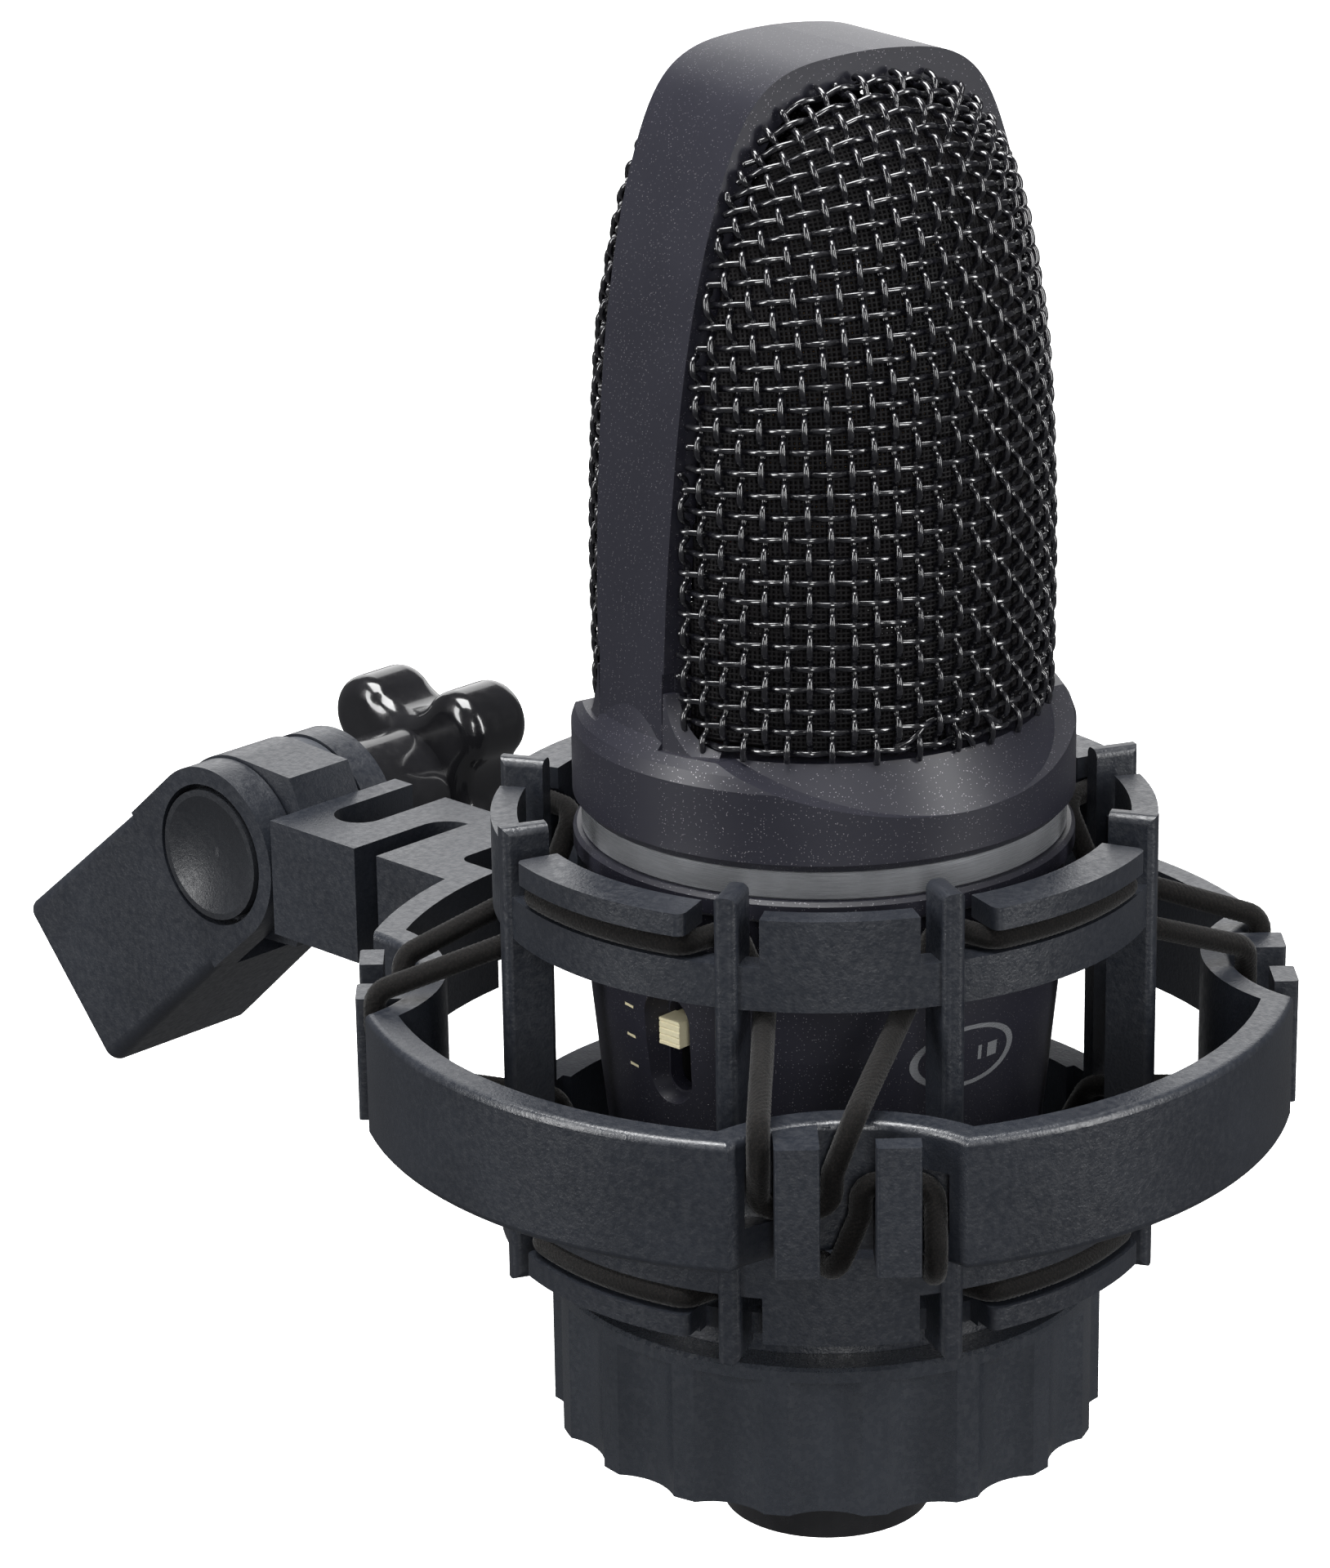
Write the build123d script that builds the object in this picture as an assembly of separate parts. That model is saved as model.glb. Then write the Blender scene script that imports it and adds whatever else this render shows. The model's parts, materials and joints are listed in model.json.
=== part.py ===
from build123d import *
from math import cos, sin, radians, sqrt, hypot
import os

# Side-address condenser microphone in an elastic suspension with a swivelling stand adapter.
# Millimetres. +Z runs up the microphone axis, z = 0 is the lower rim of the output connector.
# +Y is the direction of the support arm, so the -Y side is the free side of the suspension.

# ---- microphone ----
HEAD_TOP = 162.2            # top of the arch
MIC_TURN = -12.6            # turn of the microphone in its clamp, about +Z
SHOULDER_R = 26.5           # widest radius, 53 mm across
SHOULDER_Z0 = 82.3          # lower edge of the painted head
SHOULDER_Z1 = 90.6          # where the shoulder starts to flare in
MESH_Z = 93.0               # lower edge of both mesh windows
BAND_W0 = 5.8               # half width of the arch at the mesh foot
BAND_W1 = 8.4               # half width of the arch at the top
WALL = 3.0                  # arch thickness
RING_EDGE = 0.8             # rounding of the outer ring's upper and lower rims
CORNER_R = 6.0              # radius of the lower window corners, measured round the head
CORNER_AT = 61.0            # their centres sit this far round from the address side
TRIM_R = 25.6
TRIM_Z0 = 79.2
BODY_Z0 = 31.0              # lower end of the tapered body
SKIN = 1.6                  # body tube wall
TAIL_R = 11.4
SOCKET_R = 9.6              # bore that takes the cable connector
SOCKET_Z = 15.0             # depth of that bore
SWITCH_Z = 60.2             # centre height of both switch recesses
SWITCH_AT = 76.0            # switches sit this far round from the address side
SWITCH_TRAVEL = 3.6
CAPSULE_Z = 126.0
CAPSULE_R = 15.0

# ---- suspension cage ----
CAGE_MID = 57.35            # mirror plane of the cage
ROD_TOP = 82.8
ROD_R0 = 31.0
ROD_R1 = 36.0
ROD_W = 2.4
ROD_OFF = 18.8              # rods sit this far either side of each hook bay
BAND_TOP = 75.4
BAND_BOT = 70.8
BAND_RI = 32.2
BAND_RO = 35.2
LEDGE_TOP = 80.5
LEDGE_BOT = 78.1
LEDGE_HALF = 19.25          # half angle of the cord ledges
SEAT_HALF = 16.6            # half angle of the wall the cord lies against
TAB_HALF = 13.2             # half angle of the tabs between the rods
NECK_R = 26.0
NECK_Z0 = 15.1

# ---- clamp nut ----
NUT_R = 29.8
NUT_Z0 = 12.0
NUT_Z1 = 29.0
NUT_RIBS = 18
RIB_W = 2.35
SCALLOP = 1.3

# ---- outer ring and arm ----
RING_R = 50.0
RING_WALL = 3.2
RING_Z0 = 48.5
RING_Z1 = 62.5
BAY_C = 59.4                # centre distance of the arcs that form the hook bays
BAY_R = 16.0
HOOK_T = 5.03               # hooks sit this far either side of the bay centre
HOOK_W = 4.5
HOOK_R0 = 47.2
HOOK_R1 = 49.8
HOOK_Z = 55.9               # underside of the hook bridge that holds the upper loop
SEAT_R = 44.1               # the bay wall is relieved to this radius where the cord passes
ARM_X0 = -9.0
ARM_X1 = 10.8
ARM_END = 78.5

# ---- swivel ----
PIVOT_Y = 89.7
PIVOT_Z = 55.5
LUG_R = 11.0
LUG_X0 = -4.2
LUG_X1 = 5.0
FORK_X0 = -8.8
FORK_X1 = 11.6
FORK_R = 10.7
REST_TILT = -40.8           # angle of the adapter below the arm
BLOCK_LEN = 35.2
BOLT_R = 3.0
STAND_R = 4.76              # three-eighths inch stand thread
INSERT_R = 7.94             # five-eighths inch thread of the brass insert

# ---- elastic ----
CORD_R = 1.2
CORD_RING = 34.5            # radius of the cord on its ledge
CORD_Z = 76.75

LOBES = (0, 90, 180, 270)
BAYS = ((-135, -1), (-45, 1), (45, -1), (135, 1))


def ring_z(outer, inner, z0, z1):
    """Plain tube about +Z."""
    tube = Pos(0, 0, z0) * rod(outer, z1 - z0)
    if inner <= 0:
        return tube
    bore = Pos(0, 0, z0 - 1) * rod(inner, z1 - z0 + 2)
    return tube - bore


def box(x0, x1, y0, y1, z0, z1):
    """Box between two corners."""
    return Pos(x0, y0, z0) * Box(x1 - x0, y1 - y0, z1 - z0, align=(Align.MIN, Align.MIN, Align.MIN))


def rod(radius, length):
    """Cylinder that stands on its own origin."""
    return Cylinder(radius, length, align=(Align.CENTER, Align.CENTER, Align.MIN))


def wedge(half, reach, z0, z1):
    """Angular sector of plus and minus half degrees about +X, under 90 degrees in all."""
    a = radians(half)
    tri = Polygon((0, 0), (reach * cos(a), -reach * sin(a)), (reach * cos(a), reach * sin(a)), align=None)
    return Pos(0, 0, z0) * extrude(tri, z1 - z0)


def sector(outer, inner, half, z0, z1):
    """Piece of a tube about +Z, centred on +X."""
    return ring_z(outer, inner, z0, z1) & wedge(half, outer * 1.6, z0 - 1, z1 + 1)


def turned(points):
    """Solid of revolution from (radius, height) points."""
    face = make_face(Polyline([(r, 0, z) for r, z in points], close=True))
    return revolve(face, Axis.Z)


def aim(x, y, z, azimuth):
    """Location whose local +X points outwards at the given azimuth about +Z."""
    return Pos(x, y, z) * Rot(0, 0, azimuth)


def mirrored(solid, z):
    """Mirror image of a solid in a level plane."""
    return mirror(solid, Plane.XY.offset(z))


# =============================== microphone head ===============================

def arch_line(grow):
    """Half outline of the arch, from the shoulder up to the crown."""
    side = [(24.2, 90.0), (24.0, 98.0), (23.75, 108.0), (23.0, 120.0), (21.9, 131.0), (20.2, 141.0)]
    crown = [(18.6, 147.5), (16.9, 152.5), (15.1, 156.4), (12.8, 159.3), (9.6, 161.1), (5.0, 161.95)]
    pts = []
    for x, z in side + crown:
        pts.append((x + grow, z + grow * max(0.0, (z - 140.0) / 22.2)))
    return pts + [(0, HEAD_TOP + grow)]


def arch_face(grow):
    pts = arch_line(grow)
    right = Spline([(x, 0, z) for x, z in pts], tangents=((-0.02, 0, 1), (-1, 0, 0)))
    left = mirror(right, Plane.YZ)
    foot = Line((-pts[0][0], 0, pts[0][1]), (pts[0][0], 0, pts[0][1]))
    return make_face([right, left, foot])


def arch_solid(grow, depth):
    """Extruded outline of the arch, as deep as asked either side of its middle plane."""
    return extrude(arch_face(grow), depth, both=True)


def band_limits():
    """Solid between the two slightly leaning window edges of the arch."""
    low = 80.0
    lean = (BAND_W1 - BAND_W0) / (160.0 - MESH_Z)
    w0 = BAND_W0 - lean * (MESH_Z - low)
    w1 = BAND_W0 + lean * (170.0 - MESH_Z)
    profile = Polyline((0, -w0, low), (0, -w1, 170), (0, w1, 170), (0, w0, low), close=True)
    return extrude(make_face(profile), 40, both=True)


def dome(grow):
    """Crowned envelope shared by the mesh windows."""
    pts = [(23.4, 92.0), (23.5, 101.0), (23.5, 112.0), (23.15, 123.0), (22.4, 133.0), (21.1, 141.0)]
    pts += [(19.3, 148.2), (17.0, 153.2), (14.0, 156.9), (9.4, 159.7)]
    out = []
    for r, z in pts:
        out.append((r + grow, z + grow * max(0.0, (z - 135.0) / 26.0)))
    line = Spline([(r, 0, z) for r, z in out] + [(0, 0, 161.0 + grow)], tangents=((0, 0, 1), (-1, 0, 0)))
    foot = out[0]
    floor = Polyline((0, 0, 161.0 + grow), (0, 0, foot[1]), (foot[0], 0, foot[1]))
    return revolve(make_face([line, floor]), Axis.Z)


def scoop():
    """Waste above the sloping ledge under one mesh window, outside a steep cone."""
    slope = 21.7
    ledge = Pos(0, 0, 98.0) * Rot(slope, 0, 0) * Box(90, 90, 40, align=(Align.CENTER, Align.CENTER, Align.MIN))
    cone = turned([(0, 80.0), (30.74, 80.0), (23.3, 93.0), (23.3, 140.0), (0, 140.0)])
    front = box(-40, 40, -40, -BAND_W0, 80, 101)
    return (ledge & front) - cone


def window_corner(side_x, side_y):
    """Rounded lower corner of a mesh window, flared outwards."""
    at = -90 + side_x * CORNER_AT
    block = Rot(0, 0, at) * (ring_z(24.75, 21.2, 90.0, MESH_Z + CORNER_R)
                             & box(0, 40, min(0, side_x * 9), max(0, side_x * 9), 85, 105))
    flare = 1.25
    foot = CORNER_R - flare * (23.3 - 19.5)
    tip = CORNER_R + flare * (28.0 - 23.3)
    cone = Cone(foot, tip, 10.0, align=(Align.CENTER, Align.CENTER, Align.MIN))
    cutter = Rot(0, 0, at) * Pos(19.5, 0, MESH_Z + CORNER_R) * Rot(0, 90, 0) * cone
    corner = block - cutter - dome(0.05) - band_limits()
    if side_y > 0:
        corner = mirror(corner, Plane.XZ)
    return corner


def mic_frame():
    """Cast head: shoulder ring, arch and the ledges below both windows."""
    shoulder = turned([(22.6, SHOULDER_Z0), (SHOULDER_R - 0.8, SHOULDER_Z0), (SHOULDER_R, SHOULDER_Z0 + 0.9),
                       (SHOULDER_R, SHOULDER_Z1), (SHOULDER_R - 0.5, 92.0), (24.6, 94.0), (24.0, 96.4),
                       (23.8, 100.0), (21.2, 100.0), (21.2, 86.0), (22.6, 86.0)])
    keep = box(-40, 40, -40, 40, 80, MESH_Z) + (band_limits() & box(-40, 40, -40, 40, 80, 101))
    shoulder = shoulder & keep
    arch = arch_solid(0, 20) & band_limits()
    arch = arch & box(-40, 40, -40, 40, MESH_Z - 2.0, 170)
    arch = arch - (arch_solid(-WALL, 20) & box(-40, 40, -40, 40, 80, 170))
    head = shoulder + arch
    cut = scoop()
    head = head - cut - mirror(cut, Plane.XZ)
    for side_x in (-1, 1):
        for side_y in (-1, 1):
            head = head + window_corner(side_x, side_y)
    head = head - ring_z(21.2, 0, 80, 100)
    return head


def mesh_shell(outer, inner, side):
    """One window of curved mesh, tucked behind the arch."""
    shell = dome(outer) - dome(inner) - box(-40, 40, -40, 40, 85, MESH_Z + 0.05)
    lean = (BAND_W1 - BAND_W0) / (160.0 - MESH_Z)
    y0 = BAND_W0 + 0.15
    y1 = y0 + lean * (170.0 - MESH_Z)
    cut = Polyline((0, -y0, MESH_Z), (0, -y1, 170), (0, -60, 170), (0, -60, MESH_Z), close=True)
    shell = shell & extrude(make_face(cut), 40, both=True)
    if side > 0:
        shell = mirror(shell, Plane.XZ)
    return shell


def mesh_rim(side):
    """Formed wire rim that seats each mesh against the head."""
    return mesh_shell(-1.75, -2.35, side)


def head_deck():
    """Deck plate that closes the foot of the head and carries the capsule."""
    plate = ring_z(21.1, 0, 88.5, 90.5)
    for x in (-9, 9):
        plate = plate - Pos(x, 6, 86) * rod(1.6, 8)
    return plate


def deck_screws():
    """Three screws through the deck plate."""
    out = []
    for a in (30, 150, 270):
        at = Pos(17 * cos(radians(a)), 17 * sin(radians(a)), 90.5)
        head = at * rod(1.9, 1.3)
        slot = at * Pos(0, 0, 0.7) * Box(4.2, 0.5, 1.4, align=(Align.CENTER, Align.CENTER, Align.MIN))
        out.append(head - slot)
    return Compound(out)


def capsule_saddle():
    """Plastic pedestal with a fork that holds the capsule by its rim."""
    foot = ring_z(9.6, 0, 90.5, 93.0)
    post = Pos(0, 0, 93) * rod(4.6, 17.5)
    cradle = Pos(0, 0, CAPSULE_Z) * Rot(90, 0, 0) * (Cylinder(CAPSULE_R + 2.4, 5.0) - Cylinder(CAPSULE_R + 0.05, 9))
    cradle = cradle & box(-30, 30, -9, 9, 100, CAPSULE_Z - 4)
    return foot + post + cradle - (Pos(0, 0, CAPSULE_Z) * Rot(90, 0, 0) * Cylinder(CAPSULE_R + 0.05, 30))


def saddle_pad():
    """Rubber isolating ring round the pedestal."""
    return turned([(4.62, 93.02), (9.0, 93.02), (8.0, 96.5), (4.62, 97.5)])


def capsule_plate():
    """Drilled brass backplate between the two diaphragms."""
    plate = Pos(0, 0, CAPSULE_Z) * Rot(90, 0, 0) * Cylinder(CAPSULE_R - 0.6, 4.4)
    for ring, count in ((4.0, 6), (8.0, 12)):
        for i in range(count):
            a = radians(360.0 * i / count)
            hole = Pos(ring * cos(a), 0, CAPSULE_Z + ring * sin(a)) * Rot(90, 0, 0) * Cylinder(0.6, 6)
            plate = plate - hole
    return plate


def capsule_rings():
    """Clamp rings that hold the diaphragms, front and rear, joined by the outer housing."""
    housing = Pos(0, 0, CAPSULE_Z) * Rot(90, 0, 0) * (Cylinder(CAPSULE_R, 8.0) - Cylinder(CAPSULE_R - 0.6, 20))
    out = housing
    for side in (-1, 1):
        lip = Cylinder(CAPSULE_R, 0.9) - Cylinder(12.2, 3)
        out = out + Pos(0, side * 3.55, CAPSULE_Z) * Rot(90, 0, 0) * lip
    return out


def capsule_screws():
    """Small screws round both clamp rings."""
    out = []
    for side in (-1, 1):
        for i in range(8):
            a = radians(22.5 + 45 * i)
            at = Pos(13.5 * cos(a), side * 4.3, CAPSULE_Z + 13.5 * sin(a)) * Rot(90, 0, 0)
            out.append(at * Cylinder(0.75, 0.6))
    return Compound(out)


def diaphragms():
    """Metallised film on both faces of the capsule."""
    out = []
    for side in (-1, 1):
        out.append(Pos(0, side * 2.95, CAPSULE_Z) * Rot(90, 0, 0) * Cylinder(CAPSULE_R - 0.7, 0.3))
    return Compound(out)


def capsule_leads():
    """Two insulated leads from the capsule down through the deck."""
    out = []
    for x in (-9.0, 9.0):
        top = (x * 0.72, 5.2, 112.0)
        path = FilletPolyline(top, (x, 6.0, 104.0), (x, 6.0, 80.5), radius=3.0)
        out.append(sweep(Plane(path @ 0, z_dir=path % 0) * Circle(0.55), path=path))
    return Compound(out)


# =============================== microphone body ===============================

def trim_ring():
    """Bright ring between head and body."""
    return turned([(22.6, TRIM_Z0), (TRIM_R - 0.2, TRIM_Z0), (TRIM_R, TRIM_Z0 + 0.2), (TRIM_R, SHOULDER_Z0 - 0.2),
                   (TRIM_R - 0.2, SHOULDER_Z0), (22.6, SHOULDER_Z0)])


def body_outline(inset):
    """Tapered body outline, bottom to top, moved in by the inset."""
    pts = [(13.2, BODY_Z0), (17.6, BODY_Z0), (20.4, 32.6), (21.9, 36.0), (22.9, 42.0), (23.95, 51.6)]
    pts += [(24.9, 61.0), (25.3, 68.0), (25.5, 75.8), (25.6, 76.9)]
    return [(r - inset, z) for r, z in pts]


def body_blank():
    """Body tube with its lip, before the switch recesses are cut."""
    outer = body_outline(0) + [(SHOULDER_R - 0.2, 76.9), (SHOULDER_R, 77.2), (SHOULDER_R, 78.8), (26.1, TRIM_Z0)]
    outer = turned(outer + [(11.5, TRIM_Z0), (11.5, BODY_Z0)])
    inner = [(0, BODY_Z0 + SKIN)] + [(max(r, 12.4), max(z, BODY_Z0 + SKIN)) for r, z in body_outline(SKIN)[1:]]
    inner = turned(inner + [(24.0, TRIM_Z0 + 1), (0, TRIM_Z0 + 1)])
    return outer, inner


def switch_frame(side):
    """Location on the body skin at a switch: local +X points out, local Z up."""
    azimuth = -90 + side * SWITCH_AT
    return aim(0, 0, SWITCH_Z, azimuth)


def stadium(width, height):
    return SlotOverall(height, width, rotation=90)


def switch_cut(side):
    """Sloping recess with a slot at its foot for the slider."""
    at = switch_frame(side)
    mouth = at * Plane.YZ.offset(26.2).location * stadium(7.6, 13.8)
    foot = at * Plane.YZ.offset(22.4).location * stadium(4.0, 11.0)
    funnel = loft([mouth, foot])
    slot = at * Plane.YZ.offset(18.0).location * extrude(stadium(3.6, 10.4), 6)
    return funnel + slot


def switch_cup(side):
    """Pocket wall behind each switch recess."""
    at = switch_frame(side)
    return at * Plane.YZ.offset(20.6).location * extrude(stadium(9.6, 15.8), 6)


def body_shell():
    """Painted tapered body with a recess for each switch."""
    outer, inner = body_blank()
    shell = outer - inner
    for side in (-1, 1):
        shell = shell + (switch_cup(side) & outer)
        shell = shell - switch_cut(side)
    return shell - ring_z(13.2, 0, BODY_Z0 - 2, BODY_Z0 + 3)


def slider(side):
    """Ridged switch slider, at the upper end of its slot."""
    at = switch_frame(side) * Pos(0, 0, SWITCH_TRAVEL / 2)
    stem = at * box(18.6, 22.2, -1.3, 1.3, -1.35, 1.35)
    head = at * box(22.0, 24.5, -1.4, 1.4, -1.45, 1.45)
    for i in range(4):
        groove = at * Pos(24.75, 0, -1.05 + 0.7 * i) * Rot(0, 45, 0) * Box(0.5, 4, 0.5)
        head = head - groove
    return stem + head


def switch_body(side):
    """Slide switch housing on the board behind each recess."""
    at = switch_frame(side)
    case = at * box(13.5, 18.5, -3.2, 3.2, -6.5, 6.5)
    stop = at * box(18.5, 19.4, -2.9, 2.9, -6.0, 6.0) - at * box(18.4, 19.6, -1.5, 1.5, -4.2, 4.2)
    return case + stop


def inner_collar():
    """Threaded collar that joins the head, trim ring and body."""
    return ring_z(22.55, 21.3, 77.0, 86.0) + ring_z(23.85, 21.3, 76.0, 77.2)


def chassis():
    """Two upright rails with end plates that carry the boards."""
    out = ring_z(12.3, 8.0, 35.6, 37.0) + ring_z(20.9, 8.0, 78.2, 79.6)
    out = out & (box(-30, 30, -5, 5, 30, 90) + ring_z(12.3, 0, 30, 40))
    for x in (-1, 1):
        rail = box(min(x * 9.2, x * 10.6), max(x * 9.2, x * 10.6), -5, 5, 35.6, 79.6)
        out = out + rail
    return out


def main_board():
    """Circuit board between the rails."""
    board = box(-9.1, 9.1, 5.1, 6.7, 38.5, 77.0)
    for x in (-6, 6):
        for z in (41.5, 74.0):
            board = board - Pos(x, 6, z) * Rot(90, 0, 0) * Cylinder(1.1, 4)
    return board


def board_parts():
    """Electrolytic, film capacitors, a transistor can and a few resistors."""
    out = []
    for x, z in ((-4.5, 48.0), (4.5, 48.0)):
        out.append(Pos(x, 5.1, z) * Rot(90, 0, 0) * rod(3.0, 8.0))
    for x, z in ((-4.2, 60.0), (4.2, 60.0)):
        out.append(box(x - 3.4, x + 3.4, -0.4, 5.1, z - 2.2, z + 2.2))
    out.append(Pos(0, 5.1, 68.5) * Rot(90, 0, 0) * rod(2.4, 4.2))
    for x in (-6.5, -3.9, 3.9, 6.5):
        out.append(Pos(x, 4.0, 70.0) * Rot(0, 0, 0) * Cylinder(0.9, 5.2))
    return Compound(out)


def tail_tube():
    """Threaded tail sleeve that carries the output connector."""
    tail = ring_z(TAIL_R, SOCKET_R, 0, SOCKET_Z) + ring_z(TAIL_R, 9.0, SOCKET_Z, 34.2)
    tail = tail + ring_z(13.1, 9.0, BODY_Z0 + 0.1, 34.2)
    tail = tail - turned([(9.0, -0.01), (SOCKET_R + 0.31, -0.01), (SOCKET_R, 0.3), (9.0, 0.3)])
    key = box(-1.1, 1.1, -10.4, -8.9, 2.0, SOCKET_Z)
    return tail + (key & ring_z(10.0, 0, 0, 40))


def tail_ring():
    """Lock ring above the tail flange inside the body."""
    return ring_z(15.5, 11.45, 34.3, 35.5)


def xlr_insert():
    """Insulating connector block."""
    block = ring_z(8.95, 0, SOCKET_Z + 0.05, 24.0)
    for x, y in xlr_pins_at():
        block = block - Pos(x, y, 10) * rod(1.21, 20)
    return block


def xlr_pins_at():
    return ((-4.4, -1.8), (4.4, -1.8), (0.0, 4.6))


def xlr_pins():
    """Three contact pins with rounded tips and solder cups."""
    out = []
    for x, y in xlr_pins_at():
        pin = turned([(0, 3.0), (0.6, 3.1), (1.2, 4.0), (1.2, 27.0), (0.8, 27.0), (0.8, 24.6), (0, 24.6)])
        out.append(Pos(x, y, 0) * pin)
    return Compound(out)


# =============================== suspension cage ===============================

def cage_rod():
    """Upright rod with rounded ends, on +X."""
    low = 2 * CAGE_MID - ROD_TOP
    rod = box(ROD_R0, ROD_R1, -ROD_W / 2, ROD_W / 2, low, ROD_TOP)
    return fillet(rod.edges().filter_by(Axis.Z).sort_by(Axis.X)[-2:] + rod.edges().filter_by(Axis.X), 0.9)


def cage_upper():
    """Upper half of the basket: band, cord ledges and tabs."""
    out = ring_z(BAND_RO, BAND_RI, BAND_BOT, BAND_TOP)
    for a in LOBES:
        wall = sector(33.2, 31.2, SEAT_HALF, BAND_BOT, LEDGE_TOP)
        ledge = sector(ROD_R1, 31.2, LEDGE_HALF, LEDGE_BOT, LEDGE_TOP)
        uprights = ledge.edges().filter_by(Axis.Z).sort_by(lambda e: -hypot(e.center().X, e.center().Y))
        ledge = fillet(uprights[:2], 1.0)
        out = out + Rot(0, 0, a) * (wall + ledge)
    for a, sign in BAYS:
        out = out + Rot(0, 0, a) * sector(BAND_RO, 32.4, TAB_HALF, BAND_TOP - 0.5, LEDGE_TOP)
    return out


def cage():
    """Inner basket: rods, bands, ledges, floor and the threaded clamp neck."""
    upper = cage_upper()
    out = upper + mirrored(upper, CAGE_MID)
    for a, sign in BAYS:
        for off in (-ROD_OFF, ROD_OFF):
            out = out + Rot(0, 0, a + off) * cage_rod()
    floor = ring_z(31.4, 23.0, 33.6, 35.9)
    for a in LOBES:
        floor = floor + Rot(0, 0, a) * sector(33.0, 31.0, LEDGE_HALF, 33.6, 35.9)
    for a, sign in BAYS:
        for off in (-ROD_OFF, ROD_OFF):
            floor = floor + Rot(0, 0, a + off) * box(30, 32, -ROD_W / 2, ROD_W / 2, 33.6, 35.9)
    neck = turned([(22.0, 35.9), (NECK_R, 35.9), (NECK_R, NECK_Z0 + 0.6), (NECK_R - 0.6, NECK_Z0),
                   (24.2, NECK_Z0), (21.6, 31.0)])
    out = out + floor + neck
    return out


def collet():
    """Split tapered sleeve that closes on the tail of the microphone."""
    body = turned([(TAIL_R + 0.01, 15.2), (24.05, 15.2), (21.55, 30.4), (TAIL_R + 0.01, 30.4)])
    body = body - turned([(14.2, 17.5), (20.8, 17.5), (19.4, 28.2), (14.2, 28.2)])
    for a in (0, 60, 120):
        body = body - Rot(0, 0, a + 20) * box(-30, 30, -0.8, 0.8, 18.2, 31.0)
    return body


def lock_nut():
    """Ribbed clamp nut with scalloped flats between the ribs."""
    nut = ring_z(NUT_R, NECK_R + 0.08, NUT_Z0, NUT_Z1) + ring_z(NUT_R - 1.0, 12.7, NUT_Z0, 15.0)
    pitch = 360.0 / NUT_RIBS
    half = radians(pitch / 2)
    chord = 2 * (NUT_R * sin(half) - RIB_W / 2 * cos(half))
    cut_r = (chord * chord / 4 + SCALLOP * SCALLOP) / (2 * SCALLOP)
    for i in range(NUT_RIBS):
        at = Rot(0, 0, -147.8 + pitch * (i + 0.5))
        centre = NUT_R * cos(half) - SCALLOP + 0.3 + cut_r
        tool = at * Pos(centre, 0, NUT_Z0 - 1) * rod(cut_r, NUT_Z1 - NUT_Z0 - 0.6)
        nut = nut - tool
    rim = nut.edges().filter_by(GeomType.CIRCLE).filter_by(lambda e: abs(e.center().Z - NUT_Z1) < 0.01)
    return chamfer(rim.sort_by(lambda e: -e.radius)[:1], 0.35)


# =============================== elastic loops ===============================

def route(points, bend):
    """Closed or open path of straight runs joined by tangent arcs."""
    pts = [Vector(*p) for p in points]
    edges = []
    last = pts[0]
    for i in range(1, len(pts) - 1):
        here = pts[i]
        into = (here - pts[i - 1]).normalized()
        away = (pts[i + 1] - here).normalized()
        turn = into.get_angle(away)
        radius = bend[i]
        setback = radius * sin(radians(turn / 2)) / cos(radians(turn / 2))
        start = here - into * setback
        stop = here + away * setback
        inward = (away - into).normalized()
        reach = radius / cos(radians(turn / 2)) - radius
        edges.append(Line(last, start))
        edges.append(ThreePointArc(start, here + inward * reach, stop))
        last = stop
    edges.append(Line(last, pts[-1]))
    return edges


def bay_point(t, r, z):
    """Point in the hook bay at azimuth -135: t along the ring, r outwards."""
    a = radians(-135)
    return (r * cos(a) - t * sin(a), r * sin(a) + t * cos(a), z)


def polar(r, azimuth, z):
    return (r * cos(radians(azimuth)), r * sin(radians(azimuth)), z)


def cord_quarter(upper):
    """Quarter of a loop, from the middle of one ledge through a hook bay to the middle of the next."""
    side = 1 if upper else -1
    cage_z = (lambda z: z) if upper else (lambda z: 2 * CAGE_MID - z)
    hook_z = (lambda z: z) if upper else (lambda z: RING_Z0 + RING_Z1 - z)

    def at(t, r, z):
        return bay_point(side * t, r, z)

    half = 45 - 29.5
    level = cage_z(CORD_Z)
    near = -135 - side * 45
    far = -135 + side * 45
    ring0 = ThreePointArc(polar(CORD_RING, near, level), polar(CORD_RING, near + side * half / 2, level),
                          polar(CORD_RING, near + side * half, level))
    ring1 = ThreePointArc(polar(CORD_RING, far - side * half, level), polar(CORD_RING, far - side * half / 2, level),
                          polar(CORD_RING, far, level))
    lead = 1.5
    a0 = ring0 @ 1
    b0 = ring1 @ 0
    low = cage_z(69.9)
    pts = [tuple(a0), tuple(a0 + (ring0 % 1) * lead),
           at(-10.3, 26.4, level), at(-7.3, 29.2, low),
           at(-8.75, 47.7, hook_z(63.6)), at(-8.75, 47.7, hook_z(59.6)), at(-8.75, 45.45, hook_z(54.3)),
           at(-1.5, 45.4, hook_z(54.25)), at(-1.35, 45.3, hook_z(57.8)), at(1.0, 44.9, hook_z(63.9)),
           at(7.3, 29.2, low), at(10.3, 26.4, level),
           tuple(b0 - (ring1 % 0) * lead), tuple(b0)]
    bend = [0, 1.8, 2.0, 2.2, 2.2, 2.6, 2.0, 1.8, 2.6, 2.2, 2.2, 2.0, 1.8, 0]
    return Wire([ring0] + route(pts, bend) + [ring1])


def elastic(upper):
    """One whole elastic loop through all four bays."""
    path = cord_quarter(upper)
    quarter = sweep(Plane(path @ 0, z_dir=path % 0) * Circle(CORD_R), path=path, transition=Transition.RIGHT)
    half = quarter + mirror(quarter, Plane.YZ)
    return half + mirror(half, Plane.XZ)


# =============================== outer ring and arm ===============================

def bay_circles(radius):
    out = []
    for a, sign in BAYS:
        out.append(Pos(BAY_C * cos(radians(a)), BAY_C * sin(radians(a))) * Circle(radius))
    return out


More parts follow.
